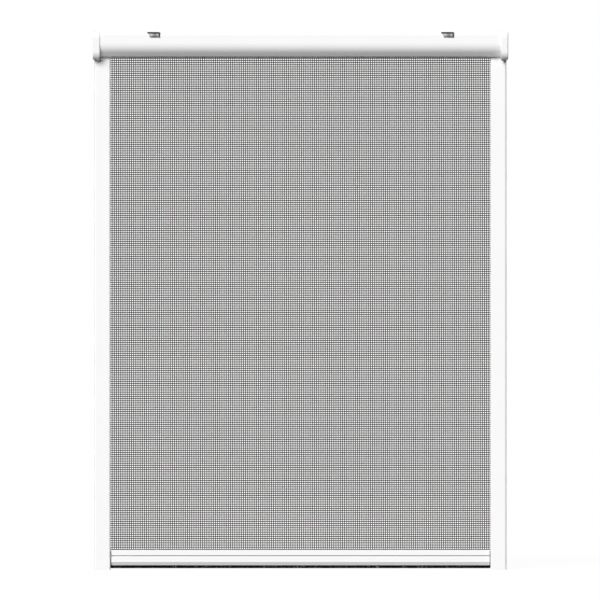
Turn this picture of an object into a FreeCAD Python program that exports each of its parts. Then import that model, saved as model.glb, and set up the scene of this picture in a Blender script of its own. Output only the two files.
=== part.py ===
import FreeCAD, Part
import math
import os

# A roller insect screen for a window. X runs along the cassette, the front is -Y, and Z is up from the sill.
# The origin is on the sill, midway between the rails and midway between the front and the rear plane.

V = FreeCAD.Vector

# The whole screen
screen_width = 700.0
screen_depth = 46.0
drop_height = 863.6  # from the sill to the underside of the cassette
fit_gap = 0.2  # around pieces that plug together
running_gap = 0.3  # between pieces that move past each other
shaft_gap = 0.05  # around a shaft that turns
press_gap = 0.02  # around a pressed pin

# Cassette: a flat face that rounds into a slant, and a level underside with a slot for the mesh
cassette_height = 40.4
cassette_wall = 1.2
cassette_round = 21.0
cassette_top_radius = 3.0
slant_height = 14.2  # from the underside to where the face and the slant would meet
slant_depth = 14.2  # from the face to where the slant and the underside would meet
slant_round = 8.0  # between the slant and the underside
top_rib_height = 0.8
top_rib_width = 2.0
top_rib_inset = 4.0
slot_width = 14.0
slot_lip_height = 4.9
port_radius = 3.3
port_bore = 1.5
port_reach = 0.1  # how far a port's ring sinks into the wall beside it
low_port_height = 10.5
catch_recess = 1.7  # the upper back steps in, and the clips' rear legs lie in the step
catch_groove_depth = 1.5
catch_groove_height = 3.0
catch_groove_drop = 6.0

# End caps
cap_width = 12.0
cap_proud = 2.0  # in front of the cassette's face
cap_rise = 4.3  # over the cassette's top
cap_drop = 4.5  # below its underside
cap_top_radius = 12.0
cap_low_radius = 14.0
cap_bevel = 1.3  # on the outer rim
cap_inner_bevel = 0.8  # beside the cassette
cap_end_wall = 3.0
cap_peg_clearance = 0.1
cap_peg_length = 10.0
cap_boss_radius = 6.0
spigot_thickness = 4.0
spigot_length = 20.0
spigot_root = 6.0

# Mounting clips
clip_inset = 102.5  # from an end cap's outer face to the middle of the clip next to it
clip_width = 21.0
clip_thickness = 1.2
clip_lip_height = 9.0
clip_lip_cut = 5.0
clip_flange_reach = 0.6
clip_hook_height = 2.0
clip_hook_reach = 1.2
clip_hole_radius = 2.25
clip_seat_gap = 0.1

# Guide rails: a chamber for the gliders and a narrower mouth, beside closed pockets, for the pile strips
rail_inset = 2.6  # behind the end cap's outer face
rail_width = 27.0
rail_depth = 24.0
rail_neck = 21.6  # from the outer wall to where the chamber narrows
rail_wall = 1.3
rail_corner = 3.0
rail_lip_bevel = 1.6  # on the front edge beside the mesh
mouth_depth = 16.0
groove_rib = 0.8
groove_depth = 1.8
groove_nib = 0.5
rail_hole_radius = 2.25
rail_hole_spacing = 350.0

# Pile strips in the rails
pile_backing_thickness = 1.0
pile_width = 2.8
pile_side_gap = 0.1
pile_end_gap = 1.0

# Feet of the rails
foot_flange = 2.0
foot_plug_thickness = 4.3
foot_plug_height = 12.0
foot_plug_side_gap = 2.0
jaw_thickness = 2.3
jaw_length = 5.0

# Mesh: a coarse grid, as open as a weave of these threads
mesh_pitch = 3.63
thread_width = 1.4
mesh_thickness = 0.36
mesh_edge = 12.1  # how far the mesh reaches into each rail
grid_columns = 10
grid_rows = 13

# Roller
roller_height = 20.0  # over the underside of the cassette
tube_radius = 9.5
tube_wall = 1.0
tube_end_gap = 2.0
roll_thickness = 0.9
keyhole_depth = 2.6  # from the tube's skin to the keyhole's centre
keyhole_radius = 1.4
keyhole_wall = 0.7
keyhole_slot = 1.0
tube_spline_radius = 1.3
plug_length = 12.0
plug_flange = 1.2
idler_pin_radius = 3.0
idler_pin_seat = 8.0
idler_pin_length = 23.0
shaft_radius = 2.0
shaft_key_flats = 5.0
shaft_key_length = 7.0
anchor_radius = 4.2
anchor_length = 8.0
spring_length = 120.0
spring_turns = 16
spring_sides = 12
spring_inner_radius = 2.5
spring_outer_radius = 3.7
spring_wire_depth = 0.6
end_play = 1.0

# Pull bar
bar_bottom = 7.4
bar_height = 25.8
bar_end_gap = 1.5
bar_wall = 1.2
bar_slope_height = 5.5
bar_slope_depth = 3.3
bar_line_drop = 9.7  # from the bar's top to its front groove
bar_line_width = 1.2
bar_line_depth = 2.2
bar_keyhole_drop = 3.8
bar_keyhole_radius = 2.0
bar_keyhole_slot = 1.6
bar_spline_radius = 1.9
bar_pocket_top = 1.4
bar_chamber_bottom = 6.2
brush_drop = 4.4
brush_width = 2.8
brush_backing_width = 4.6
brush_backing_thickness = 1.0

# Gliders of the pull bar
glider_plug_length = 22.0
glider_neck = 2.0
glider_trim = 1.6  # how much lower than the bar's top the glider ends
glider_bottom_trim = 1.2
shoe_inset = 6.5
shoe_length = 9.7
shoe_bar = 2.4
shoe_side_gap = 0.4
tongue_drop = 5.6
tongue_inset = 1.4

# Places that follow from the sizes
rear = screen_depth / 2
front = -rear
cap_outer = -screen_width / 2
cap_inner = cap_outer + cap_width
cassette_front = front + cap_proud
cassette_top = drop_height + cassette_height
rail_outer = cap_outer + rail_inset
rail_mouth = rail_outer + rail_width
rail_front = rear - rail_depth
rail_top = drop_height - fit_gap
mesh_plane = rear - rail_depth / 2
mouth_front = mesh_plane - mouth_depth / 2
mouth_rear = mesh_plane + mouth_depth / 2
catch_plane = rear - catch_recess
groove_floor = catch_plane - catch_groove_depth
groove_top = cassette_top - catch_groove_drop
groove_bottom = groove_top - catch_groove_height
slot_front = mesh_plane - slot_width / 2
slot_rear = mesh_plane + slot_width / 2
sheet_edge = rail_mouth - mesh_edge
tube_end = cap_inner + tube_end_gap
winding_radius = tube_radius + shaft_gap
roll_radius = winding_radius + roll_thickness
roller_y = mesh_plane - mesh_thickness / 2 - running_gap - roll_radius
roller_z = drop_height + roller_height
clip_centre = cap_outer + clip_inset
bar_end = rail_mouth + bar_end_gap
bar_top = bar_bottom + bar_height
bar_spline_z = bar_top - bar_keyhole_drop
sheet_bottom = bar_spline_z + bar_spline_radius + running_gap
plug_radius = tube_radius - tube_wall - shaft_gap
chamber_front = rail_front + rail_wall
chamber_rear = rear - rail_wall
shoe_bottom = bar_bottom + glider_bottom_trim
shoe_outer = rail_outer + shoe_inset
shoe_inner = shoe_outer + shoe_length
tongue_half = glider_neck / 2


def rounded_wire(corners, place):
    """A closed wire through (a, b, radius) corners, each rounded by its radius."""
    points = [V(a, b, 0) for a, b, _ in corners]
    arcs = []
    for i, (_, _, radius) in enumerate(corners):
        corner = points[i]
        back = (points[i - 1] - corner).normalize()
        ahead = (points[(i + 1) % len(points)] - corner).normalize()
        half = back.getAngle(ahead) / 2
        reach = radius / math.tan(half)
        inward = (back + ahead).normalize() if radius else V()
        middle = corner + inward * (radius / math.sin(half) - radius)
        arcs.append((corner + back * reach, middle, corner + ahead * reach, radius))
    edges = []
    for i, (start, middle, end, radius) in enumerate(arcs):
        last_end = arcs[i - 1][2]
        if (start - last_end).Length > 1e-6:
            edges.append(Part.LineSegment(place(last_end), place(start)).toShape())
        if radius:
            edges.append(Part.Arc(place(start), place(middle), place(end)).toShape())
    return Part.Wire(edges)


def along_x(corners, x_low, x_high):
    """An extrusion along X of corners in Y and Z."""
    wire = rounded_wire(corners, lambda p: V(x_low, p.x, p.y))
    return Part.Face(wire).extrude(V(x_high - x_low, 0, 0))


def along_z(corners, z_low, z_high):
    """An extrusion along Z of corners in X and Y."""
    wire = rounded_wire(corners, lambda p: V(p.x, p.y, z_low))
    return Part.Face(wire).extrude(V(0, 0, z_high - z_low))


def along_y(corners, y_low, y_high):
    """An extrusion along Y of corners in X and Z."""
    wire = rounded_wire(corners, lambda p: V(p.x, y_low, p.y))
    return Part.Face(wire).extrude(V(0, y_high - y_low, 0))


def sharp(points):
    return [(a, b, 0) for a, b in points]


def block(x_low, x_high, y_low, y_high, z_low, z_high):
    return Part.makeBox(x_high - x_low, y_high - y_low, z_high - z_low, V(x_low, y_low, z_low))


def rod(radius, y, z, x_low, x_high):
    """A round bar along X."""
    return Part.makeCylinder(radius, x_high - x_low, V(x_low, y, z), V(1, 0, 0))


def mirrored(shape):
    """The same piece for the right end of the screen."""
    return shape.mirror(V(0, 0, 0), V(1, 0, 0))


def cassette_outline(inset):
    """The cassette's section, moved inwards by inset."""
    slant = math.atan2(slant_depth, slant_height)
    underside = cassette_front + slant_depth + inset * math.tan((math.pi / 2 - slant) / 2)
    face_end = drop_height + slant_height + inset * math.tan(slant / 2)
    return [
        (cassette_front + inset, cassette_top - inset, max(cassette_top_radius - inset, inset)),
        (catch_plane - inset, cassette_top - inset, 0),
        (catch_plane - inset, groove_top + inset, 0),
        (groove_floor - inset, groove_top + inset, 0),
        (groove_floor - inset, groove_bottom - inset, 0),
        (rear - inset, groove_bottom - inset, 0),
        (rear - inset, drop_height + inset, 0),
        (underside, drop_height + inset, slant_round - inset),
        (cassette_front + inset, face_end, cassette_round - inset),
    ]


def port_centres():
    """Where the end caps' pegs enter the cassette, in Y and Z."""
    reach = cassette_wall + port_radius - port_reach
    return [(cassette_front + reach, cassette_top - reach), (rear - reach, drop_height + low_port_height)]


def cassette_profile():
    low, high = cap_inner, -cap_inner
    shape = along_x(cassette_outline(0), low, high)
    shape = shape.cut(along_x(cassette_outline(cassette_wall), low, high))
    lip_top = drop_height + slot_lip_height
    shape = shape.cut(block(low, high, slot_front, slot_rear, drop_height, lip_top))
    rib_top = cassette_top + top_rib_height
    rib_front = cassette_front + top_rib_inset
    rib_rear = catch_plane - top_rib_inset
    added = [
        block(low, high, slot_front - cassette_wall, slot_front, drop_height, lip_top),
        block(low, high, slot_rear, slot_rear + cassette_wall, drop_height, lip_top),
        block(low, high, rib_front, rib_front + top_rib_width, cassette_top - cassette_wall, rib_top),
        block(low, high, rib_rear - top_rib_width, rib_rear, cassette_top - cassette_wall, rib_top),
    ]
    added += [rod(port_radius, y, z, low, high) for y, z in port_centres()]
    shape = shape.fuse(added).removeSplitter()
    return shape.cut([rod(port_bore, y, z, low, high) for y, z in port_centres()])


def many_sided(radius, sides, x):
    """Corners of an even-sided outline round the roller's axis."""
    turns = [2 * math.pi * i / sides for i in range(sides)]
    return [V(x, roller_y + radius * math.cos(t), roller_z + radius * math.sin(t)) for t in turns]


def flat_face(corners):
    return Part.Face(Part.makePolygon(corners + corners[:1]))


def hexagon(flats, x_low, x_high):
    """A six-sided bar round the roller's axis."""
    return flat_face(many_sided(flats / math.sqrt(3), 6, x_low)).extrude(V(x_high - x_low, 0, 0))


def end_cap(socket):
    """The left end cap, with a socket in its boss for what holds the roller."""
    cap_top = cassette_top + cap_rise
    cap_bottom = drop_height - cap_drop
    outline = [
        (front, cap_top, cap_top_radius),
        (rear, cap_top, 0),
        (rear, cap_bottom, 0),
        (front, cap_bottom, cap_low_radius),
    ]
    shape = along_x(outline, cap_outer, cap_inner)
    for bevel, x in ((cap_bevel, cap_outer), (cap_inner_bevel, cap_inner)):
        rim = [e for e in shape.Edges if all(abs(v.X - x) < 1e-6 for v in e.Vertexes)]
        shape = shape.makeChamfer(bevel, rim)
    end_wall = cap_outer + cap_end_wall
    hollow = along_x(cassette_outline(cassette_wall), end_wall, cap_inner)
    notch = block(rail_outer - fit_gap, cap_inner, rail_front - fit_gap, rear, cap_bottom, drop_height)
    shape = shape.cut([hollow, notch])
    spigot_low = rail_outer + rail_wall + fit_gap
    added = [
        block(
            spigot_low,
            spigot_low + spigot_thickness,
            chamber_front + foot_plug_side_gap,
            chamber_rear - foot_plug_side_gap,
            drop_height - spigot_length,
            drop_height + spigot_root,
        ),
        rod(cap_boss_radius, roller_y, roller_z, end_wall, cap_inner),
    ]
    for y, z in port_centres():
        added.append(rod(port_radius, y, z, end_wall, cap_inner))
        added.append(rod(port_bore - cap_peg_clearance, y, z, end_wall, cap_inner + cap_peg_length))
    return shape.fuse(added).removeSplitter().cut(socket)


def mounting_clip(centre):
    """A folded clip: a lip over the cassette's front edge, a plate on its ribs and a leg hooked behind."""
    left, right = centre - clip_width / 2, centre + clip_width / 2
    seat = cassette_top + top_rib_height
    plate_top = seat + clip_thickness
    lip_rear = cassette_front - clip_seat_gap
    lip_front = lip_rear - clip_thickness
    leg_front = catch_plane + clip_seat_gap
    leg_rear = leg_front + clip_thickness
    leg_bottom = groove_bottom + clip_seat_gap
    bend = clip_thickness / 2
    strip = [
        (lip_front, plate_top, bend),
        (leg_rear, plate_top, bend),
        (leg_rear, leg_bottom, 0),
        (leg_front - clip_hook_reach, leg_bottom, 0),
        (leg_front - clip_hook_reach, leg_bottom + clip_hook_height, 0),
        (leg_front, leg_bottom + clip_hook_height, 0),
        (leg_front, seat, 0),
        (lip_rear, seat, 0),
        (lip_rear, plate_top - clip_lip_height, 0),
        (lip_front, plate_top - clip_lip_height, 0),
    ]
    shape = along_x(strip, left, right)
    lip_bottom = plate_top - clip_lip_height
    wedge = sharp([(left, seat), (left, lip_bottom), (left + clip_lip_cut, lip_bottom)])
    shape = shape.cut(along_y(wedge, lip_front, lip_rear))
    flange = block(
        right - clip_thickness,
        right,
        lip_front - clip_flange_reach,
        lip_front,
        lip_bottom,
        plate_top - clip_thickness,
    )
    shape = shape.fuse(flange).removeSplitter()
    hole = Part.makeCylinder(clip_hole_radius, 2 * clip_thickness, V(centre, 0, seat - bend))
    return shape.cut(hole)


def rail_outline():
    """The outside of the left rail's section in X and Y."""
    return [
        (rail_outer, rail_front, rail_corner),
        (rail_mouth - rail_lip_bevel, rail_front, 0),
        (rail_mouth, rail_front + rail_lip_bevel, 0),
        (rail_mouth, rear, 0),
        (rail_outer, rear, 0),
    ]


def rail_chamber():
    """The hollow of the left rail, which narrows to the mouth."""
    neck = rail_outer + rail_neck
    return [
        (rail_outer + rail_wall, chamber_front, rail_corner - rail_wall),
        (neck, chamber_front, 0),
        (neck, mouth_front + rail_wall, 0),
        (rail_mouth, mouth_front + rail_wall, 0),
        (rail_mouth, mouth_rear - rail_wall, 0),
        (neck, mouth_rear - rail_wall, 0),
        (neck, chamber_rear, 0),
        (rail_outer + rail_wall, chamber_rear, 0),
    ]


def groove_ribs(low, high):
    """Two ribs with nibs on the inside of the mouth's front wall, which hold a pile strip."""
    floor = mouth_front + rail_wall
    tip = floor + groove_depth
    outer = rail_outer + rail_neck
    shapes = []
    for edge, side in ((outer, 1), (rail_mouth, -1)):
        rib = sorted((edge, edge + side * groove_rib))
        nib = sorted((edge, edge + side * (groove_rib + groove_nib)))
        shapes.append(block(*rib, floor, tip, low, high))
        shapes.append(block(*nib, tip - groove_nib, tip, low, high))
    return shapes


def front_and_rear(shape):
    """The shape and its reflection in the plane of the mesh."""
    return [shape, shape.mirror(V(0, mesh_plane, 0), V(0, 1, 0))]


def rail_hole_heights():
    middle = (foot_flange + rail_top) / 2
    return [middle - rail_hole_spacing, middle, middle + rail_hole_spacing]


def guide_rail():
    pocket = block(
        rail_outer + rail_neck + rail_wall,
        rail_mouth - rail_wall,
        chamber_front,
        mouth_front,
        foot_flange,
        rail_top,
    )
    shape = along_z(rail_outline(), foot_flange, rail_top)
    shape = shape.cut([along_z(rail_chamber(), foot_flange, rail_top)] + front_and_rear(pocket))
    ribs = [r for rib in groove_ribs(foot_flange, rail_top) for r in front_and_rear(rib)]
    shape = shape.fuse(ribs).removeSplitter()
    for z in rail_hole_heights():
        hole = rod(rail_hole_radius, mesh_plane, z, rail_outer, rail_outer + 2 * rail_wall)
        shape = shape.cut(hole)
    return shape


def rail_brush():
    """The front pile strip of the left rail: a backing in the groove, and pile that ends beside the mesh."""
    low, high = foot_flange + pile_end_gap, rail_top - pile_end_gap
    floor = mouth_front + rail_wall + pile_side_gap
    left = rail_outer + rail_neck + groove_rib + pile_side_gap
    right = rail_mouth - groove_rib - pile_side_gap
    middle = (left + right) / 2
    tip = mesh_plane - tongue_half - running_gap
    backing = block(left, right, floor, floor + pile_backing_thickness, low, high)
    pile = block(middle - pile_width / 2, middle + pile_width / 2, floor, tip, low, high)
    return backing.fuse(pile).removeSplitter()


def rail_foot():
    """The plug that closes the left rail, with two jaws that grip the glider's tongue."""
    plug_low = rail_outer + rail_wall + fit_gap
    plug = block(
        plug_low,
        plug_low + foot_plug_thickness,
        chamber_front + foot_plug_side_gap,
        chamber_rear - foot_plug_side_gap,
        foot_flange,
        foot_flange + foot_plug_height,
    )
    middle = (shoe_outer + shoe_inner) / 2
    jaw = block(
        middle - jaw_length / 2,
        middle + jaw_length / 2,
        mesh_plane - tongue_half - running_gap - jaw_thickness,
        mesh_plane - tongue_half - running_gap,
        foot_flange,
        shoe_bottom - running_gap,
    )
    flange = along_z(rail_outline(), 0, foot_flange)
    return flange.fuse([plug] + front_and_rear(jaw)).removeSplitter()


def openings(low, high, count):
    """Starts and width of even openings from low to high, with the weave's share of each cell."""
    cell = (high - low) / count
    width = cell * (mesh_pitch - thread_width) / mesh_pitch
    return [low + cell * i + (cell - width) / 2 for i in range(count)], width


def mesh_sheet():
    low, high = sheet_edge, -sheet_edge
    front_face, rear_face = mesh_plane - mesh_thickness / 2, mesh_plane + mesh_thickness / 2
    columns, width = openings(low, high, grid_columns)
    rows, height = openings(sheet_bottom, roller_z, grid_rows)
    gaps = [block(x, x + width, front_face, rear_face, z, z + height) for x in columns for z in rows]
    return block(low, high, front_face, rear_face, sheet_bottom, roller_z).cut(gaps)


def keyhole_centre():
    return roller_z + tube_radius - keyhole_depth


def roller_tube():
    low, high = tube_end, -tube_end
    ring = rod(tube_radius, roller_y, roller_z, low, high)
    ring = ring.cut(rod(tube_radius - tube_wall, roller_y, roller_z, low, high))
    pad = rod(keyhole_radius + keyhole_wall, roller_y, keyhole_centre(), low, high)
    shape = ring.fuse(pad.common(rod(tube_radius, roller_y, roller_z, low, high))).removeSplitter()
    half_slot = keyhole_slot / 2
    slot = block(
        low, high, roller_y - half_slot, roller_y + half_slot, keyhole_centre(), roller_z + tube_radius + 1
    )
    return shape.cut([rod(keyhole_radius, roller_y, keyhole_centre(), low, high), slot])


def plug_body(x_low, x_high, bore):
    """A round plug that fits the tube's inside and clears its keyhole channel."""
    shape = rod(plug_radius, roller_y, roller_z, x_low, x_high)
    half = keyhole_radius + keyhole_wall + fit_gap
    low = keyhole_centre() - half
    relief = block(x_low, x_high, roller_y - half, roller_y + half, low, roller_z + tube_radius)
    return shape.cut([relief, rod(bore, roller_y, roller_z, x_low, x_high)])


def roller_plug(bore):
    """The left end plug of the tube, with a flange over the tube's end."""
    flange_end = tube_end - plug_flange
    body = plug_body(tube_end, tube_end + plug_length, bore)
    flange = rod(tube_radius, roller_y, roller_z, flange_end, tube_end)
    flange = flange.cut(rod(bore, roller_y, roller_z, flange_end, tube_end))
    return body.fuse(flange).removeSplitter()


def mesh_roll():
    """The turns of mesh that stay on the tube while the screen is down."""
    low, high = sheet_edge, -sheet_edge
    roll = rod(roll_radius, roller_y, roller_z, low, high)
    return roll.cut(rod(winding_radius, roller_y, roller_z, low, high))


# Places of the spring set, inwards from the right end of the tube
anchor_outer = -tube_end - plug_length - end_play
anchor_inner = anchor_outer - anchor_length
spring_outer_end = anchor_inner
spring_inner_end = spring_outer_end - spring_length
carrier_outer = spring_inner_end - end_play / 2
carrier_inner = carrier_outer - plug_length


def spring_shaft():
    """A fixed round shaft with a six-sided end in the right end cap."""
    key_end = -cap_inner + shaft_key_length
    key = hexagon(shaft_key_flats, -cap_inner, key_end)
    return key.fuse(rod(shaft_radius, roller_y, roller_z, carrier_inner, -cap_inner)).removeSplitter()


def spring_anchor():
    collar = rod(anchor_radius, roller_y, roller_z, anchor_inner, anchor_outer)
    return collar.cut(rod(shaft_radius + press_gap, roller_y, roller_z, anchor_inner, anchor_outer))


def torsion_spring():
    """The closely wound spring as one sleeve, with a ridge for each turn."""
    pitch = spring_length / spring_turns
    valley = spring_outer_radius - spring_wire_depth
    rings = [many_sided(valley, spring_sides, spring_inner_end)]
    for i in range(spring_turns):
        start = spring_inner_end + i * pitch
        rings.append(many_sided(spring_outer_radius, spring_sides, start + pitch / 2))
        rings.append(many_sided(valley, spring_sides, start + pitch))
    faces = [flat_face(rings[0]), flat_face(rings[-1])]
    for near, far in zip(rings, rings[1:]):
        for i in range(spring_sides):
            faces.append(flat_face([near[i - 1], near[i], far[i], far[i - 1]]))
    sleeve = Part.Solid(Part.Shell(faces))
    return sleeve.cut(rod(spring_inner_radius, roller_y, roller_z, spring_inner_end, spring_outer_end))


def bar_outline():
    """The pull bar's section in Y and Z."""
    line_top = bar_top - bar_line_drop + bar_line_width / 2
    line_bottom = line_top - bar_line_width
    slope_top = bar_bottom + bar_slope_height
    return sharp(
        [
            (mouth_front, bar_top),
            (mouth_front, line_top),
            (mouth_front + bar_line_depth, line_top),
            (mouth_front + bar_line_depth, line_bottom),
            (mouth_front, line_bottom),
            (mouth_front, slope_top),
            (mouth_front + bar_slope_depth, bar_bottom),
            (mouth_rear - bar_slope_depth, bar_bottom),
            (mouth_rear, slope_top),
            (mouth_rear, bar_top),
        ]
    )


def bar_chamber():
    """Lowest and highest Y and Z of the pull bar's main hollow."""
    top = bar_top - bar_line_drop - bar_line_width / 2 - bar_wall
    return mouth_front + bar_wall, mouth_rear - bar_wall, bar_bottom + bar_chamber_bottom, top


def brush_slot(clearance):
    """The bar's slot for its brush, or the brush's backing and pile, smaller by clearance on each side."""
    half_back = brush_backing_width / 2 - clearance
    half_pile = brush_width / 2
    backing_low = bar_bottom + bar_wall + clearance
    backing_high = bar_bottom + bar_wall + brush_backing_thickness + 2 * fit_gap - clearance
    return half_back, half_pile, backing_low, backing_high


def pull_bar():
    low, high = bar_end, -bar_end
    shape = along_x(bar_outline(), low, high)
    chamber = block(low, high, *bar_chamber())
    keyhole = rod(bar_keyhole_radius, mesh_plane, bar_spline_z, low, high)
    half_slot = bar_keyhole_slot / 2
    slot = block(low, high, mesh_plane - half_slot, mesh_plane + half_slot, bar_spline_z, bar_top)
    pocket = block(
        low,
        high,
        mouth_front + bar_wall,
        mesh_plane - bar_keyhole_radius - bar_wall,
        bar_top - bar_line_drop + bar_line_width / 2 + bar_wall,
        bar_top - bar_pocket_top,
    )
    half_back, half_pile, backing_low, backing_high = brush_slot(0)
    brush_room = block(low, high, mesh_plane - half_back, mesh_plane + half_back, backing_low, backing_high)
    brush_mouth = block(
        low,
        high,
        mesh_plane - half_pile - fit_gap,
        mesh_plane + half_pile + fit_gap,
        bar_bottom,
        backing_low,
    )
    return shape.cut([chamber, keyhole, slot, brush_room, brush_mouth] + front_and_rear(pocket))


def bar_brush():
    low, high = bar_end, -bar_end
    half_back, half_pile, backing_low, backing_high = brush_slot(fit_gap)
    backing = block(low, high, mesh_plane - half_back, mesh_plane + half_back, backing_low, backing_high)
    pile = block(
        low, high, mesh_plane - half_pile, mesh_plane + half_pile, bar_bottom - brush_drop, backing_low
    )
    return backing.fuse(pile).removeSplitter()


def bar_glider():
    """The left glider: a plug in the bar, a thin neck through the pile and a shoe in the rail's chamber."""
    y_low, y_high, z_low, z_high = bar_chamber()
    plug = block(
        bar_end,
        bar_end + glider_plug_length,
        y_low + fit_gap,
        y_high - fit_gap,
        z_low + fit_gap,
        z_high - fit_gap,
    )
    top = bar_top - glider_trim
    front_face, rear_face = mesh_plane - tongue_half, mesh_plane + tongue_half
    neck = block(shoe_outer, bar_end, front_face, rear_face, shoe_bottom, top - fit_gap)
    shoe_front, shoe_rear = chamber_front + shoe_side_gap, chamber_rear - shoe_side_gap
    bars = [
        block(x, x + shoe_bar, shoe_front, shoe_rear, shoe_bottom, top - fit_gap)
        for x in (shoe_outer, shoe_inner - shoe_bar)
    ]
    tongue = block(
        shoe_outer + tongue_inset,
        shoe_inner - tongue_inset,
        front_face,
        rear_face,
        shoe_bottom - tongue_drop,
        shoe_bottom,
    )
    return neck.fuse([plug, tongue] + bars).removeSplitter()


def all_nodes():
    pin_low = cap_inner - idler_pin_seat
    pin_socket = rod(idler_pin_radius + press_gap, roller_y, roller_z, pin_low, cap_inner)
    key_socket = hexagon(shaft_key_flats + 2 * press_gap, cap_inner - shaft_key_length, cap_inner)
    brush_front, brush_rear = front_and_rear(rail_brush())
    rail, foot, glider = guide_rail(), rail_foot(), bar_glider()
    return {
        "cassette_profile": cassette_profile(),
        "end_cap_left": end_cap(pin_socket),
        "end_cap_right": mirrored(end_cap(key_socket)),
        "mounting_clip_left": mounting_clip(clip_centre),
        "mounting_clip_right": mounting_clip(-clip_centre),
        "guide_rail_left": rail,
        "guide_rail_right": mirrored(rail),
        "rail_brush_front_left": brush_front,
        "rail_brush_rear_left": brush_rear,
        "rail_brush_front_right": mirrored(brush_front),
        "rail_brush_rear_right": mirrored(brush_rear),
        "rail_foot_left": foot,
        "rail_foot_right": mirrored(foot),
        "mesh_sheet": mesh_sheet(),
        "idler_pin": rod(idler_pin_radius, roller_y, roller_z, pin_low, pin_low + idler_pin_length),
        "spring_shaft": spring_shaft(),
        "spring_anchor": spring_anchor(),
        "torsion_spring": torsion_spring(),
        "roller_tube": roller_tube(),
        "roller_plug_left": roller_plug(idler_pin_radius + shaft_gap),
        "roller_plug_right": mirrored(roller_plug(shaft_radius + shaft_gap)),
        "spring_carrier": plug_body(carrier_inner, carrier_outer, shaft_radius + shaft_gap),
        "tube_spline": rod(tube_spline_radius, roller_y, keyhole_centre(), sheet_edge, -sheet_edge),
        "mesh_roll": mesh_roll(),
        "pull_bar": pull_bar(),
        "bar_glider_left": glider,
        "bar_glider_right": mirrored(glider),
        "bar_spline": rod(bar_spline_radius, mesh_plane, bar_spline_z, bar_end, -bar_end),
        "bar_brush": bar_brush(),
    }


os.makedirs("parts", exist_ok=True)
for name, shape in all_nodes().items():
    shape.exportStep(os.path.join("parts", name + ".step"))
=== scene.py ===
import math
import random

import bpy
from bpy.props import FloatProperty, FloatVectorProperty, IntProperty, PointerProperty
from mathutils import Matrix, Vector


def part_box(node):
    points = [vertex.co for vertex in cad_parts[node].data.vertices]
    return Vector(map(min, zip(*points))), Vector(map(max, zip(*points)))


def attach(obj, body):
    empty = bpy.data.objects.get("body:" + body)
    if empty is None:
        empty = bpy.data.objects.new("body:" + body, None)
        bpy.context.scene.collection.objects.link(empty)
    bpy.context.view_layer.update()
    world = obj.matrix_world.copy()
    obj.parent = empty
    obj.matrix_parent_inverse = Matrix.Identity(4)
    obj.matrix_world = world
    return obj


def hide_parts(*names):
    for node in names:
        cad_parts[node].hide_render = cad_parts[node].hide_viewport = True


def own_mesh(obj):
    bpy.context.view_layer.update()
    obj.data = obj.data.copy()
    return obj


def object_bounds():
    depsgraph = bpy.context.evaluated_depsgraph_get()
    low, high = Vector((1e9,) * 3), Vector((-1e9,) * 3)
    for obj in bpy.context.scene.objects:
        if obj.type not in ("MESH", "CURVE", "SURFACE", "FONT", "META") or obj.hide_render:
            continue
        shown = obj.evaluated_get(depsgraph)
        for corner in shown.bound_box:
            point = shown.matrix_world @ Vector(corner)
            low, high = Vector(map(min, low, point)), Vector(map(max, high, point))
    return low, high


bl_info = {
    "name": "Roller insect screen",
    "version": (1, 0, 0),
    "blender": (4, 5, 0),
    "location": "3D View > Sidebar > Insect screen",
    "description": "Weaves an insect screen's mesh, sets its pile and finishes its metal and plastic",
    "category": "Object",
}

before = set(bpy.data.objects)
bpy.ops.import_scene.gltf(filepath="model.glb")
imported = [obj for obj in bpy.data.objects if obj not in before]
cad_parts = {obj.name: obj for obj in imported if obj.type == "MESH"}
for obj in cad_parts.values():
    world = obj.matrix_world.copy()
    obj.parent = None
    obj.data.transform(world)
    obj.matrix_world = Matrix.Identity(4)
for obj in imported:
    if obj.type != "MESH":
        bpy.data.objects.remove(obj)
cad_low, cad_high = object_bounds()

X, Y, Z = 0, 1, 2
COATED_UPRIGHT = ("guide_rail_left", "guide_rail_right")
MOULDED_WHITE = ("end_cap_left", "end_cap_right", "rail_foot_left", "rail_foot_right")
MOULDED_GREY = (
    "bar_glider_left",
    "bar_glider_right",
    "roller_plug_left",
    "roller_plug_right",
    "spring_carrier",
)
CLIPS = ("mounting_clip_left", "mounting_clip_right")
DRAWN_STEEL = ("idler_pin", "spring_shaft", "spring_anchor")
CORDS = ("tube_spline", "bar_spline")
RAYS_THAT_SEE = ("Is Camera Ray", "Is Glossy Ray", "Is Transmission Ray")

# For each strip: the axis that it runs along, the axis and the side that its fibres point to, its
# body, and how far the fibres stand proud of their solid and run past its ends, in metres
PILE_STRIPS = {
    "bar_brush": (X, Z, -1, "bar", 0.0008, 0.0021),
    "rail_brush_front_left": (Z, Y, 1, "frame", 0, 0),
    "rail_brush_rear_left": (Z, Y, -1, "frame", 0, 0),
    "rail_brush_front_right": (Z, Y, 1, "frame", 0, 0),
    "rail_brush_rear_right": (Z, Y, -1, "frame", 0, 0),
}

# How much a noise is drawn out into lines along the run of a finish: less is longer
DIE_LINES = 0.01
ROLLED_LINES = 0.015
CLIP_LINES = 0.2
CORD_LINES = 0.3

# Marks of a finish along a metre
DIE_LINES_PER_METRE = 1400
COAT_DRIFT_PER_METRE = 9
FLOW_PER_METRE = 30
ROLLED_LINES_PER_METRE = 3000
METAL_PATCHES_PER_METRE = 160
CLIP_LINES_PER_METRE = 1500
CLIP_PATCHES_PER_METRE = 420
CORD_SKIN_PER_METRE = 1800
YARN_SKIN_PER_METRE = 2600
YARN_PATCHES_PER_METRE = 25
TUFTS_PER_METRE = 700

# Depths of the bumps of a finish, in metres
ROLLED_DEPTH = 0.000008
CLIP_DEPTH = 0.00001
CORD_DEPTH = 0.00002
YARN_DEPTH = 0.00006
ROLL_DEPTH = 0.0002
TUFT_DEPTH = 0.0001

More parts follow.
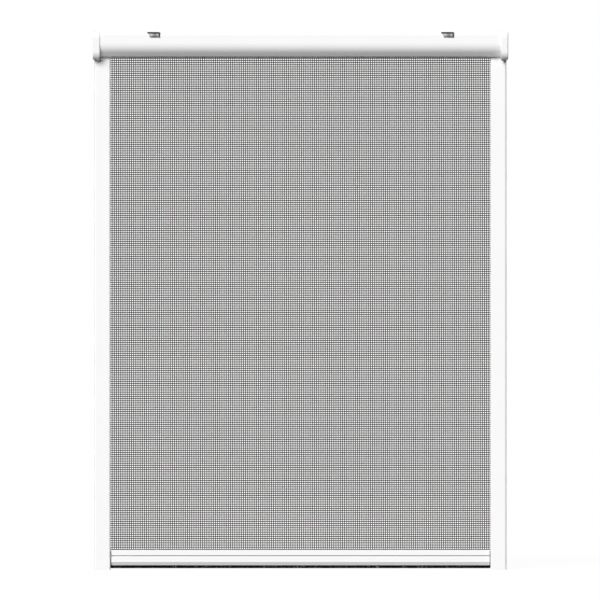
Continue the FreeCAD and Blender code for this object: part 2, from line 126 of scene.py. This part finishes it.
# The bar's groove, painted dark as its shade: how far the painted shade spreads over its edges, as a
# share of its half width, and the step in metres at which it ends behind the bar's front
GROOVE_BLUR = 1.2
GROOVE_REAR = (0.003, 0.0031)

# Where a clip's painted shade and painted highlight change, each as the start and end of a step in
# metres
FOLD_BELOW_TOP = (0.0016, 0.0042)
FOLD_BEHIND_FRONT = (0.002, 0.004)
CUT_EDGE = (0.0013, 0.0025)
LOW_BELOW_TOP = (0.0045, 0.0075)

# How much darker a clip is painted low down as shade, and how much painted highlight stays in its
# crease
LOW_LOSS = 0.6
CREASE_SHARE = 0.4

# The corners of a thread, as shares of its width and depth, and how deep a level thread is beside
# an upright one
THREAD_CORNERS = ((-0.5, 0), (-0.25, -0.5), (0.25, -0.5), (0.5, 0), (0.25, 0.5), (-0.25, 0.5))
LEVEL_DEPTH = 0.86
CLOTH_SEED = 7

# The sides of a block, as the numbers of its corners
BLOCK_SIDES = ((0, 2, 3, 1), (4, 5, 7, 6), (0, 1, 5, 4), (2, 6, 7, 3), (0, 4, 6, 2), (1, 3, 7, 5))

# A fibre's sides and how thick its tip is beside its root
FIBRE_SIDES = 3
TIP_SHARE = 0.7

# How far a fibre's root and tip stray along the strip and its tip leans across it, in spacings
ROOT_STRAY = 0.4
TIP_STRAY = 0.8
LEAN_STRAY = 0.3

# The floor looks a touch over white. It and the camera's sight reach many camera distances
FLOOR_WHITE = 1.01
FLOOR_REACH = 4
SIGHT = 20


class Wire:
    """One output of a node. Sums, differences and products of it add Math nodes."""

    def __init__(self, shader, socket):
        self.shader, self.socket = shader, socket

    def math(self, operation, first, second=0.0):
        return self.shader.node("ShaderNodeMath", {"operation": operation}, {0: first, 1: second})

    def __add__(self, other):
        return self.math("ADD", self, other)

    __radd__ = __add__

    def __sub__(self, other):
        return self.math("SUBTRACT", self, other)

    def __rsub__(self, other):
        return self.math("SUBTRACT", other, self)

    def __mul__(self, other):
        return self.math("MULTIPLY", self, other)

    __rmul__ = __mul__

    def sine(self):
        return self.math("SINE", self)

    def absolute(self):
        return self.math("ABSOLUTE", self)

    def rise(self, start, end):
        """0 up to start, 1 from end on, and a smooth step between them."""
        sockets = {"Value": self, "From Min": start, "From Max": end}
        return self.shader.node("ShaderNodeMapRange", {"interpolation_type": "SMOOTHSTEP"}, sockets)


class Shader:
    """The nodes of one material or of the world."""

    def __init__(self, tree):
        self.tree = tree
        tree.nodes.clear()

    def node(self, kind, settings=None, sockets=None, output=0):
        """Adds a node, sets it, then its sockets' values or wires, and gives one output as a wire."""
        made = self.tree.nodes.new(kind)
        for name, value in (settings or {}).items():
            setattr(made, name, value)
        for name, value in (sockets or {}).items():
            if isinstance(value, Wire):
                self.tree.links.new(value.socket, made.inputs[name])
            else:
                made.inputs[name].default_value = value
        return Wire(self, made.outputs[output]) if made.outputs else made

    def places(self, stretch=(1, 1, 1)):
        """Places on the object in metres, each axis multiplied by its share of stretch."""
        place = self.node("ShaderNodeTexCoord", output="Object")
        return self.node("ShaderNodeVectorMath", {"operation": "MULTIPLY"}, {0: place, 1: stretch})

    def along(self, axis):
        return self.node("ShaderNodeSeparateXYZ", None, {0: self.places()}, output=axis)

    def noise(self, per_metre, stretch=(1, 1, 1), detail=2.0):
        sockets = {"Vector": self.places(stretch), "Scale": per_metre, "Detail": detail}
        return self.node("ShaderNodeTexNoise", None, sockets)

    def tint(self, share, dark, light):
        """A colour that goes from dark to light by share. Light may be a wire."""
        sockets = {0: share, 6: (*dark, 1), 7: light if isinstance(light, Wire) else (*light, 1)}
        return self.node("ShaderNodeMix", {"data_type": "RGBA"}, sockets, output=2)

    def bump(self, height, depth):
        return self.node("ShaderNodeBump", None, {"Height": height, "Distance": depth})

    def surface(self, sockets):
        skin = self.node("ShaderNodeBsdfPrincipled", None, sockets)
        self.node("ShaderNodeOutputMaterial", None, {"Surface": skin})


def new_shader(name):
    material = bpy.data.materials.new(name)
    material.use_nodes = True
    return material, Shader(material.node_tree)


def shaded(colour, share):
    return [tone * share for tone in colour]


def dress(material, nodes):
    for node in nodes:
        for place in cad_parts[node].material_slots:
            place.material = material


def stretch_along(run, share):
    """A stretch for places that draws a noise out into lines along one axis."""
    stretch = [1.0, 1.0, 1.0]
    stretch[run] = share
    return stretch


def groove_shade_mask(shader, finish):
    """1 inside the groove along the front of the pull bar, where its shade is painted, and 0
    elsewhere.
    """
    low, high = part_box("pull_bar")
    aside = (shader.along(Z) - (high.z - finish.groove_drop)).absolute()
    inward = shader.along(Y) - low.y
    edge = finish.groove_width / 2
    level = 1 - aside.rise(edge, GROOVE_BLUR * edge)
    return level * inward.rise(0, finish.groove_width) * (1 - inward.rise(*GROOVE_REAR))


def powder_coat(name, finish, run, paint_groove_shade=False):
    """White powder coat over an extrusion along one axis, with orange peel and faint die lines."""
    material, shader = new_shader(name)
    peel = shader.noise(finish.peel_per_metre)
    lines = shader.noise(DIE_LINES_PER_METRE, stretch_along(run, DIE_LINES), detail=1.0)
    drift = shader.noise(COAT_DRIFT_PER_METRE, detail=1.0)
    colour = shader.tint(drift, shaded(finish.coat, 0.975), finish.coat)
    # Painted shade: the bar's groove is coloured dark as the shadow inside it
    if paint_groove_shade:
        colour = shader.tint(1 - groove_shade_mask(shader, finish), finish.painted_shade, colour)
    shader.surface(
        {
            "Base Color": colour,
            "Roughness": 0.42 + 0.16 * peel,
            "Specular IOR Level": 0.3,
            "Normal": shader.bump(peel + 0.4 * lines, finish.peel_depth),
        }
    )
    return material


def moulded_plastic(name, colour, finish, roughness):
    """Moulded plastic with a fine grain from its tool and a slow change of tone."""
    material, shader = new_shader(name)
    grain = shader.noise(finish.grain_per_metre, detail=3.0)
    flow = shader.noise(FLOW_PER_METRE)
    shader.surface(
        {
            "Base Color": shader.tint(flow, shaded(colour, 0.96), colour),
            "Roughness": roughness - 0.05 + 0.12 * grain,
            "Specular IOR Level": 0.3,
            "Normal": shader.bump(grain, finish.grain_depth),
        }
    )
    return material


def lined_metal(name, colour, roughness, run):
    """Bare metal that was rolled, drawn or extruded along one axis, with fine lines along it."""
    material, shader = new_shader(name)
    lines = shader.noise(ROLLED_LINES_PER_METRE, stretch_along(run, ROLLED_LINES), detail=3.0)
    patches = shader.noise(METAL_PATCHES_PER_METRE)
    shader.surface(
        {
            "Base Color": shader.tint(0.6 * lines + 0.4 * patches, shaded(colour, 0.8), colour),
            "Metallic": 1.0,
            "Roughness": roughness + 0.1 * lines + 0.06 * patches,
            "Normal": shader.bump(lines, ROLLED_DEPTH),
        }
    )
    return material


def clip_steel(name, finish, node):
    """Folded strip: painted highlight on its face, painted shade in its fold and crease, at its edge
    and low down.
    """
    material, shader = new_shader(name)
    low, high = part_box(node)
    lines = shader.noise(CLIP_LINES_PER_METRE, stretch_along(Z, CLIP_LINES), detail=3.0)
    patches = shader.noise(CLIP_PATCHES_PER_METRE, detail=3.0)
    below = high.z - shader.along(Z)
    behind = shader.along(Y) - low.y
    inset = high.x - shader.along(X)
    # Painted shade and highlight: fold, cut edge, crease and low part are coloured dark, the rest
    # bright
    fold = (1 - below.rise(*FOLD_BELOW_TOP)) * (1 - behind.rise(*FOLD_BEHIND_FRONT))
    crease = (inset - finish.crease_inset).absolute()
    crease_shade = CREASE_SHARE + (1 - CREASE_SHARE) * crease.rise(0, finish.crease_reach)
    painted_light = (1 - fold) * crease_shade * inset.rise(*CUT_EDGE) * (1 - LOW_LOSS * below.rise(*LOW_BELOW_TOP))
    bright = painted_light * (0.6 + 0.3 * lines + 0.5 * patches)
    shader.surface(
        {
            "Base Color": shader.tint(bright, finish.clip_shade, finish.lit_clip_steel),
            "Metallic": 1.0,
            "Roughness": 0.34 + 0.1 * lines + 0.1 * patches,
            "Normal": shader.bump(lines, CLIP_DEPTH),
        }
    )
    return material


def soft_cord(name, colour):
    """Soft plastic cord, drawn along X."""
    material, shader = new_shader(name)
    skin = shader.noise(CORD_SKIN_PER_METRE, stretch_along(X, CORD_LINES))
    shader.surface(
        {
            "Base Color": shader.tint(skin, shaded(colour, 0.8), colour),
            "Roughness": 0.55 + 0.15 * skin,
            "Normal": shader.bump(skin, CORD_DEPTH),
        }
    )
    return material


def coated_yarn(name, cloth):
    """The mesh's yarn, which rises and dips at its crossings under a slightly uneven coating."""
    material, shader = new_shader(name)
    turns = math.pi / cloth.pitch
    crossing = (shader.along(X) * turns).sine() * (shader.along(Z) * turns).sine()
    skin = shader.noise(YARN_SKIN_PER_METRE)
    patches = shader.noise(YARN_PATCHES_PER_METRE, detail=1.0)
    dusk = shaded(cloth.colour, 0.8)
    shader.surface(
        {
            "Base Color": shader.tint(0.5 * skin + 0.5 * patches, dusk, cloth.colour),
            "Roughness": 0.55 + 0.12 * skin,
            "Specular IOR Level": 0.2,
            "Normal": shader.bump(crossing + 0.3 * skin, YARN_DEPTH),
        }
    )
    return material


def wound_cloth(name, cloth, roll):
    """Turns of the mesh on the tube: the gaps between its threads are painted darker, as shade on the
    turns below.
    """
    material, shader = new_shader(name)
    low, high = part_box(roll)
    middle = (low + high) / 2
    turns = math.pi / cloth.pitch
    outward, upward = shader.along(Y) - middle.y, shader.along(Z) - middle.z
    around = outward.math("ARCTAN2", outward, upward)
    level = (around * (turns * (high.z - low.z) / 2)).sine()
    upright = (shader.along(X) * turns).sine()
    threads = 1.0 - (level * level) * (upright * upright)
    shader.surface(
        {
            # Painted shade: darker between the threads, for the shade on the turns below
            "Base Color": shader.tint(threads, shaded(cloth.colour, 0.3), cloth.colour),
            "Roughness": 0.6,
            "Normal": shader.bump(threads, ROLL_DEPTH),
        }
    )
    return material


def dense_pile(name, pile):
    """Matt fibres, with tufts that are darker than the rest."""
    material, shader = new_shader(name)
    tufts = shader.noise(TUFTS_PER_METRE, detail=3.0)
    shader.surface(
        {
            "Base Color": shader.tint(tufts, shaded(pile.colour, 0.5), pile.colour),
            "Roughness": 0.75,
            "Specular IOR Level": 0.15,
            "Normal": shader.bump(tufts, TUFT_DEPTH),
        }
    )
    return material


def piece(name, points, faces, material, smooth):
    """A mesh object of one material."""
    data = bpy.data.meshes.new(name)
    data.from_pydata(points, [], faces)
    data.materials.append(material)
    if smooth:
        data.shade_smooth()
    made = bpy.data.objects.new(name, data)
    bpy.context.scene.collection.objects.link(made)
    return made


def thread(points, faces, run, places, across, width, depth):
    """Adds one flattened six-sided thread along an axis, through places as (run, across, out)."""
    first = len(points)
    for place, side, out in places:
        for a, b in THREAD_CORNERS:
            point = [0.0, 0.0, 0.0]
            point[run], point[across], point[Y] = place, side + a * width, out + b * depth
            points.append(point)
    count = len(THREAD_CORNERS)
    for ring in range(len(places) - 1):
        start = first + ring * count
        for i in range(count):
            after = (i + 1) % count
            faces.append((start + i, start + after, start + count + after, start + count + i))
    faces.append(tuple(range(first, first + count)))
    last = len(points) - count
    faces.append(tuple(reversed(range(last, last + count))))


def woven_threads(cloth, low, high, run, across, pitch, shift, width, depth, draw):
    """Points and faces of an even number of threads that run along one axis of the sheet."""
    points, faces = [], []
    middle = (low.y + high.y) / 2
    span = high[across] - low[across]
    count = 2 * int((span - width + pitch) / (2 * pitch))
    start = (low[across] + high[across] - (count - 1) * pitch) / 2 + shift
    for i in range(count):
        places = []
        for step in range(cloth.steps + 1):
            place = low[run] + (high[run] - low[run]) * step / cloth.steps
            drift = draw.uniform(-cloth.drift, cloth.drift)
            places.append((place, start + i * pitch + drift, middle))
        thread(points, faces, run, places, across, width, depth)
    return points, faces


def weave(cloth, node, material):
    """The mesh: upright threads, and level ones that lie a little flatter through them."""
    low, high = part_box(node)
    draw = random.Random(CLOTH_SEED)
    depth = high.y - low.y
    upright = (Z, X, cloth.pitch, 0, cloth.upright_width, depth)
    level = (X, Z, cloth.level_pitch, cloth.level_shift, cloth.level_width, depth * LEVEL_DEPTH)
    points, faces = woven_threads(cloth, low, high, *upright, draw)
    level_points, level_faces = woven_threads(cloth, low, high, *level, draw)
    first = len(points)
    faces += [tuple(corner + first for corner in face) for face in level_faces]
    return piece("woven_mesh", points + level_points, faces, material, smooth=True)


def slab(points, faces, low, high):
    """Adds a closed block between two corners."""
    first = len(points)
    for i in range(8):
        points.append([(high if i >> axis & 1 else low)[axis] for axis in (X, Y, Z)])
    for side in BLOCK_SIDES:
        faces.append(tuple(first + corner for corner in side))


def third_axis(first, second):
    return X + Y + Z - first - second


def bristle(points, faces, root, tip, run, outward, thick):
    """Adds one three-sided fibre from root to tip, closed at the tip."""
    first = len(points)
    across = third_axis(run, outward)
    for end, size in ((root, thick), (tip, thick * TIP_SHARE)):
        for i in range(FIBRE_SIDES):
            turn = 2 * math.pi * i / FIBRE_SIDES
            point = list(end)
            point[run] += size / 2 * math.cos(turn)
            point[across] += size / 2 * math.sin(turn)
            points.append(point)
    upper = first + FIBRE_SIDES
    for i in range(FIBRE_SIDES):
        after = (i + 1) % FIBRE_SIDES
        faces.append((first + i, first + after, upper + after, upper + i))
    faces.append(tuple(range(upper, upper + FIBRE_SIDES)))


def pile_strip(pile, node, material):
    """A strip of fibres on its backing, in the place of one of the pile solids."""
    run, outward, side, body, proud, past = PILE_STRIPS[node]
    across = third_axis(run, outward)
    low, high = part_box(node)
    draw = random.Random(node)
    points, faces = [], []
    root, tip = (low[outward], high[outward]) if side > 0 else (high[outward], low[outward])
    backing_low, backing_high = list(low), list(high)
    base = root + side * pile.backing
    backing_low[outward], backing_high[outward] = min(root, base), max(root, base)
    slab(points, faces, backing_low, backing_high)
    middle = (low[across] + high[across]) / 2
    steps = int((high[run] - low[run] + 2 * past - 2 * pile.spacing) / pile.spacing)
    for step in range(steps + 1):
        place = low[run] - past + pile.spacing * (step + 1)
        for row in range(pile.rows):
            share = (row + 0.5) / pile.rows - 0.5
            start, end = [0.0] * 3, [0.0] * 3
            start[run] = place + draw.uniform(-ROOT_STRAY, ROOT_STRAY) * pile.spacing
            start[across] = middle + share * pile.width
            start[outward] = base - side * pile.thick / 2
            end[run] = start[run] + draw.uniform(-TIP_STRAY, TIP_STRAY) * pile.spacing
            end[across] = start[across] + draw.uniform(-LEAN_STRAY, LEAN_STRAY) * pile.spacing
            end[outward] = tip + side * (proud - draw.uniform(0, pile.uneven))
            bristle(points, faces, start, end, run, outward, pile.thick)
    strip = piece(node.replace("brush", "pile"), points, faces, material, smooth=False)
    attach(strip, body)
    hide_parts(node)
    return strip


class ClothSettings(bpy.types.PropertyGroup):
    pitch: FloatProperty(
        name="Pitch",
        description="Between upright threads",
        default=0.0036306,
        subtype="DISTANCE",
        precision=6,
    )
    level_pitch: FloatProperty(
        name="Level pitch",
        description="Between level threads",
        default=0.0036332,
        subtype="DISTANCE",
        precision=6,
    )
    level_shift: FloatProperty(
        name="Level shift",
        description="How far the level threads sit off centre",
        default=-0.00027,
        subtype="DISTANCE",
    )
    upright_width: FloatProperty(
        name="Upright thread",
        description="Width of an upright thread",
        default=0.00132,
        subtype="DISTANCE",
    )
    level_width: FloatProperty(
        name="Level thread",
        description="Width of a level thread",
        default=0.00145,
        subtype="DISTANCE",
    )
    drift: FloatProperty(
        name="Drift",
        description="How far a thread wanders from its line",
        default=0.00004,
        subtype="DISTANCE",
    )
    steps: IntProperty(
        name="Steps",
        description="Stretches between a thread's turns",
        default=9,
        min=1,
    )
    colour: FloatVectorProperty(
        name="Colour",
        description="Colour of the coated yarn",
        default=(0.016, 0.016, 0.016),
        subtype="COLOR",
    )


class PileSettings(bpy.types.PropertyGroup):
    spacing: FloatProperty(
        name="Spacing",
        description="Between fibres along the strip",
        default=0.0005,
        subtype="DISTANCE",
    )
    rows: IntProperty(name="Rows", description="Rows of fibres across the strip", default=6, min=1)
    width: FloatProperty(
        name="Width",
        description="Width of the pile",
        default=0.0026,
        subtype="DISTANCE",
    )
    thick: FloatProperty(
        name="Fibre",
        description="Thickness of a fibre",
        default=0.0005,
        subtype="DISTANCE",
    )
    backing: FloatProperty(
        name="Backing",
        description="Thickness of the backing",
        default=0.001,
        subtype="DISTANCE",
    )
    uneven: FloatProperty(
        name="Uneven",
        description="How much shorter the shortest fibre is",
        default=0.0003,
        subtype="DISTANCE",
    )
    colour: FloatVectorProperty(
        name="Colour",
        description="Colour of the fibres",
        default=(0.012, 0.012, 0.012),
        subtype="COLOR",
    )


class FinishSettings(bpy.types.PropertyGroup):
    coat: FloatVectorProperty(
        name="Coat",
        description="Colour of the powder coat",
        default=(0.93, 0.93, 0.93),
        subtype="COLOR",
    )
    peel_per_metre: FloatProperty(
        name="Peel density", description="Bumps of orange peel along a metre", default=1100.0
    )
    peel_depth: FloatProperty(
        name="Peel depth",
        description="Depth of the orange peel",
        default=0.00001,
        subtype="DISTANCE",
        precision=6,
    )
    groove_drop: FloatProperty(
        name="Groove drop",
        description="From the top of the bar to its groove",
        default=0.0097,
        subtype="DISTANCE",
    )
    groove_width: FloatProperty(
        name="Groove width",
        description="Width of the bar's groove",
        default=0.0012,
        subtype="DISTANCE",
    )
    # Painted shade: the dark colour painted into the bar's groove as its shadow
    painted_shade: FloatVectorProperty(
        name="Groove shade",
        description="Colour of the dust in the bar's groove",
        default=(0.25, 0.25, 0.25),
        subtype="COLOR",
    )
    white_plastic: FloatVectorProperty(
        name="White plastic",
        description="Colour of the caps and feet",
        default=(0.92, 0.92, 0.92),
        subtype="COLOR",
    )
    grey_plastic: FloatVectorProperty(
        name="Grey plastic",
        description="Colour of gliders and plugs",
        default=(0.45, 0.45, 0.46),
        subtype="COLOR",
    )
    grain_per_metre: FloatProperty(
        name="Grain density",
        description="Grains along a metre",
        default=3200.0,
    )
    grain_depth: FloatProperty(
        name="Grain depth",
        description="Depth of the grain",
        default=0.00001,
        subtype="DISTANCE",
        precision=6,
    )
    spring_steel: FloatVectorProperty(
        name="Spring steel",
        description="Colour of the spring",
        default=(0.22, 0.22, 0.225),
        subtype="COLOR",
    )
    # Painted highlight: the clip's steel colour, raised to stand for the light on its face
    lit_clip_steel: FloatVectorProperty(
        name="Lit clip steel",
        description="Colour of a clip's face",
        default=(0.38, 0.38, 0.385),
        subtype="COLOR",
    )
    crease_inset: FloatProperty(
        name="Crease inset",
        description="From a clip's cut edge to its crease",
        default=0.008,
        subtype="DISTANCE",
    )
    crease_reach: FloatProperty(
        name="Crease reach",
        description="How far a clip is darker beside its crease",
        default=0.007,
        subtype="DISTANCE",
    )
    # Painted shade: the dark colour of a clip's fold, crease, cut edge and low part
    clip_shade: FloatVectorProperty(
        name="Clip shade",
        description="Colour of shadowed steel in a fold",
        default=(0.015, 0.015, 0.015),
        subtype="COLOR",
    )
    plain_steel: FloatVectorProperty(
        name="Plain steel",
        description="Colour of shaft and pins",
        default=(0.55, 0.55, 0.56),
        subtype="COLOR",
    )
    aluminium: FloatVectorProperty(
        name="Aluminium",
        description="Colour of the roller tube",
        default=(0.78, 0.78, 0.79),
        subtype="COLOR",
    )
    cord: FloatVectorProperty(
        name="Cord",
        description="Colour of the cords that hold the mesh",
        default=(0.12, 0.12, 0.12),
        subtype="COLOR",
    )


class StudioSettings(bpy.types.PropertyGroup):
    distance: FloatProperty(
        name="Distance",
        description="From the camera to the screen",
        default=20.0,
        subtype="DISTANCE",
    )
    view_width: FloatProperty(
        name="View width",
        description="Width that the camera sees at the screen",
        default=1.0104,
        subtype="DISTANCE",
    )
    view_side: FloatProperty(
        name="View side",
        description="How far the camera stands to the left",
        default=0.0008,
        subtype="DISTANCE",
    )
    view_height: FloatProperty(
        name="View height",
        description="Height of the camera over the sill",
        default=0.4547,
        subtype="DISTANCE",
    )
    light_height: FloatProperty(
        name="Light height",
        description="Angle of the main light over level",
        default=math.radians(28),
        subtype="ANGLE",
    )
    light_side: FloatProperty(
        name="Light side",
        description="Angle of the main light to the left",
        default=math.radians(24),
        subtype="ANGLE",
    )
    light_spread: FloatProperty(
        name="Light spread",
        description="How wide the main light looks",
        default=math.radians(38),
        subtype="ANGLE",
    )
    light_share: FloatProperty(
        name="Light share",
        description="Brightness that the main light gives a surface facing it",
        default=1.14,
    )
    ambient: FloatProperty(
        name="Ambient",
        description="Brightness of the light from all around",
        default=0.1,
    )
    fill_height: FloatProperty(
        name="Fill height",
        description="Angle of the fill light over level",
        default=math.radians(15),
        subtype="ANGLE",
    )
    fill_side: FloatProperty(
        name="Fill side",
        description="Angle of the fill light to the left",
        default=math.radians(-150),
        subtype="ANGLE",
    )
    fill_spread: FloatProperty(
        name="Fill spread",
        description="How wide the fill light looks",
        default=math.radians(60),
        subtype="ANGLE",
    )
    fill_share: FloatProperty(
        name="Fill share",
        description="Brightness that the fill light gives a surface facing it",
        default=0.9,
    )
    floor_tone: FloatProperty(
        name="Floor tone",
        description="How much light the floor sends back",
        default=0.1,
    )


class SCREEN_OT_mesh(bpy.types.Operator):
    """Weave the mesh between the rails and finish the turns on the roller"""

    bl_idname = "insect_screen.mesh"
    bl_label = "Weave the mesh"

    def execute(self, context):
        cloth = context.scene.screen_cloth
        sheet = weave(cloth, "mesh_sheet", coated_yarn("coated yarn", cloth))
        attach(sheet, "frame")
        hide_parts("mesh_sheet")
        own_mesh(sheet)
        dress(wound_cloth("wound cloth", cloth, "mesh_roll"), ["mesh_roll"])
        return {"FINISHED"}


class SCREEN_OT_pile(bpy.types.Operator):
    """Set the fibres of the pull bar's brush and of the rails' pile strips"""

    bl_idname = "insect_screen.pile"
    bl_label = "Set the pile"

    def execute(self, context):
        pile = context.scene.screen_pile
        fibres = dense_pile("black pile", pile)
        for node in PILE_STRIPS:
            pile_strip(pile, node, fibres)
        return {"FINISHED"}


class SCREEN_OT_coat(bpy.types.Operator):
    """Coat the cassette, the rails and the pull bar"""

    bl_idname = "insect_screen.coat"
    bl_label = "Coat the extrusions"

    def execute(self, context):
        finish = context.scene.screen_finish
        dress(powder_coat("white coat along the cassette", finish, X), ["cassette_profile"])
        dress(powder_coat("white coat along the bar", finish, X, paint_groove_shade=True), ["pull_bar"])
        dress(powder_coat("white coat along the rails", finish, Z), COATED_UPRIGHT)
        return {"FINISHED"}


class SCREEN_OT_mouldings(bpy.types.Operator):
    """Finish the end caps, feet, gliders and roller plugs"""

    bl_idname = "insect_screen.mouldings"
    bl_label = "Finish the mouldings"

    def execute(self, context):
        finish = context.scene.screen_finish
        white = moulded_plastic("white moulding", finish.white_plastic, finish, roughness=0.42)
        grey = moulded_plastic("grey moulding", finish.grey_plastic, finish, roughness=0.5)
        dress(white, MOULDED_WHITE)
        dress(grey, MOULDED_GREY)
        return {"FINISHED"}


class SCREEN_OT_metal(bpy.types.Operator):
    """Finish the clips, the roller tube, its shaft, spring and pins, and the cords"""

    bl_idname = "insect_screen.metal"
    bl_label = "Finish the bare metal"

    def execute(self, context):
        finish = context.scene.screen_finish
        for clip in CLIPS:
            dress(clip_steel(clip.replace("_", " "), finish, clip), [clip])
        wire = lined_metal("spring wire", finish.spring_steel, roughness=0.3, run=Z)
        drawn = lined_metal("drawn steel", finish.plain_steel, roughness=0.32, run=X)
        extruded = lined_metal("extruded aluminium", finish.aluminium, roughness=0.34, run=X)
        dress(wire, ["torsion_spring"])
        dress(drawn, DRAWN_STEEL)
        dress(extruded, ["roller_tube"])
        dress(soft_cord("soft cord", finish.cord), CORDS)
        return {"FINISHED"}


class SCREEN_OT_stage(bpy.types.Operator):
    """Lay the pale floor, hang the main light and the fill light behind, and place the camera"""

    bl_idname = "insect_screen.stage"
    bl_label = "Set the stage"

    def execute(self, context):
        studio = context.scene.screen_studio
        white_surroundings(studio, context.scene)
        pale_floor(studio)
        main = (studio.light_height, studio.light_side, studio.light_spread, studio.light_share)
        fill = (studio.fill_height, studio.fill_side, studio.fill_spread, studio.fill_share)
        soft_light("main light", *main)
        soft_light("fill light", *fill)
        front_camera(studio, context.scene)
        context.scene.view_settings.view_transform = "Standard"
        return {"FINISHED"}


def seen_directly(shader):
    """1 for rays from the camera, a mirror or glass, and 0 for light that falls on a surface."""
    rays = [shader.node("ShaderNodeLightPath", output=name) for name in RAYS_THAT_SEE]
    return rays[0] + rays[1] + rays[2]


def white_surroundings(studio, scene):
    """Even light from all around, which looks white where it is seen."""
    world = bpy.data.worlds.new("studio")
    world.use_nodes = True
    scene.world = world
    shader = Shader(world.node_tree)
    strength = studio.ambient + (1 - studio.ambient) * seen_directly(shader)
    sky = shader.node("ShaderNodeBackground", None, {"Color": (1, 1, 1, 1), "Strength": strength})
    shader.node("ShaderNodeOutputWorld", None, {"Surface": sky})


def pale_floor(studio):
    """A wide floor that looks white where no shadow falls."""
    reach = FLOOR_REACH * studio.distance
    corners = [(-reach, -reach, 0), (reach, -reach, 0), (reach, reach, 0), (-reach, reach, 0)]
    material, shader = new_shader("pale floor")
    floor = piece("floor", corners, [(0, 1, 2, 3)], material, smooth=False)
    main_share = studio.light_share * math.sin(studio.light_height)
    light_on_floor = main_share + studio.fill_share * math.sin(studio.fill_height) + studio.ambient
    tone = studio.floor_tone
    glow = (FLOOR_WHITE - tone * light_on_floor) * seen_directly(shader)
    matt = shader.node("ShaderNodeBsdfDiffuse", None, {"Color": (tone, tone, tone, 1)})
    white = shader.node("ShaderNodeEmission", None, {"Color": (1, 1, 1, 1), "Strength": glow})
    both = shader.node("ShaderNodeAddShader", None, {0: matt, 1: white})
    shader.node("ShaderNodeOutputMaterial", None, {"Surface": both})
    return floor


def soft_light(name, height, side, spread, share):
    """A distant light at a height over level and to one side of the front."""
    lamp = bpy.data.lights.new(name, "SUN")
    lamp.angle = spread
    lamp.energy = math.pi * share
    light = bpy.data.objects.new(name, lamp)
    bpy.context.scene.collection.objects.link(light)
    level = math.cos(height)
    toward = Vector((-level * math.sin(side), -level * math.cos(side), math.sin(height)))
    light.rotation_euler = toward.to_track_quat("Z", "Y").to_euler()


def front_camera(studio, scene):
    """A camera in front of the screen, level, with a long lens."""
    data = bpy.data.cameras.new("front camera")
    data.lens = data.sensor_width * studio.distance / studio.view_width
    data.clip_end = SIGHT * studio.distance
    camera = bpy.data.objects.new("front camera", data)
    scene.collection.objects.link(camera)
    middle = (cad_low.x + cad_high.x) / 2
    camera.location = (middle - studio.view_side, cad_low.y - studio.distance, studio.view_height)
    camera.rotation_euler = (math.pi / 2, 0, 0)
    scene.camera = camera


class SCREEN_PT_panel(bpy.types.Panel):
    """The steps that dress the screen, with their sizes and colours"""

    bl_idname = "SCREEN_PT_panel"
    bl_label = "Insect screen"
    bl_space_type = "VIEW_3D"
    bl_region_type = "UI"
    bl_category = "Insect screen"

    def draw(self, context):
        for step in STEPS:
            self.layout.operator(step.bl_idname)
        for name in SETTINGS:
            settings = getattr(context.scene, name)
            box = self.layout.box()
            for field in settings.__annotations__:
                box.prop(settings, field)


STEPS = (
    SCREEN_OT_mesh,
    SCREEN_OT_pile,
    SCREEN_OT_coat,
    SCREEN_OT_mouldings,
    SCREEN_OT_metal,
    SCREEN_OT_stage,
)
SETTINGS = {
    "screen_cloth": ClothSettings,
    "screen_pile": PileSettings,
    "screen_finish": FinishSettings,
    "screen_studio": StudioSettings,
}


def register():
    for kind in (*SETTINGS.values(), *STEPS, SCREEN_PT_panel):
        bpy.utils.register_class(kind)
    for name, kind in SETTINGS.items():
        setattr(bpy.types.Scene, name, PointerProperty(type=kind))


def unregister():
    for name in SETTINGS:
        delattr(bpy.types.Scene, name)
    for kind in (SCREEN_PT_panel, *reversed(STEPS), *reversed(SETTINGS.values())):
        bpy.utils.unregister_class(kind)


def main():
    register()
    bpy.ops.insect_screen.mesh()
    bpy.ops.insect_screen.pile()
    bpy.ops.insect_screen.coat()
    bpy.ops.insect_screen.mouldings()
    bpy.ops.insect_screen.metal()
    bpy.ops.insect_screen.stage()
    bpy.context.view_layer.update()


if __name__ == "__main__":
    main()
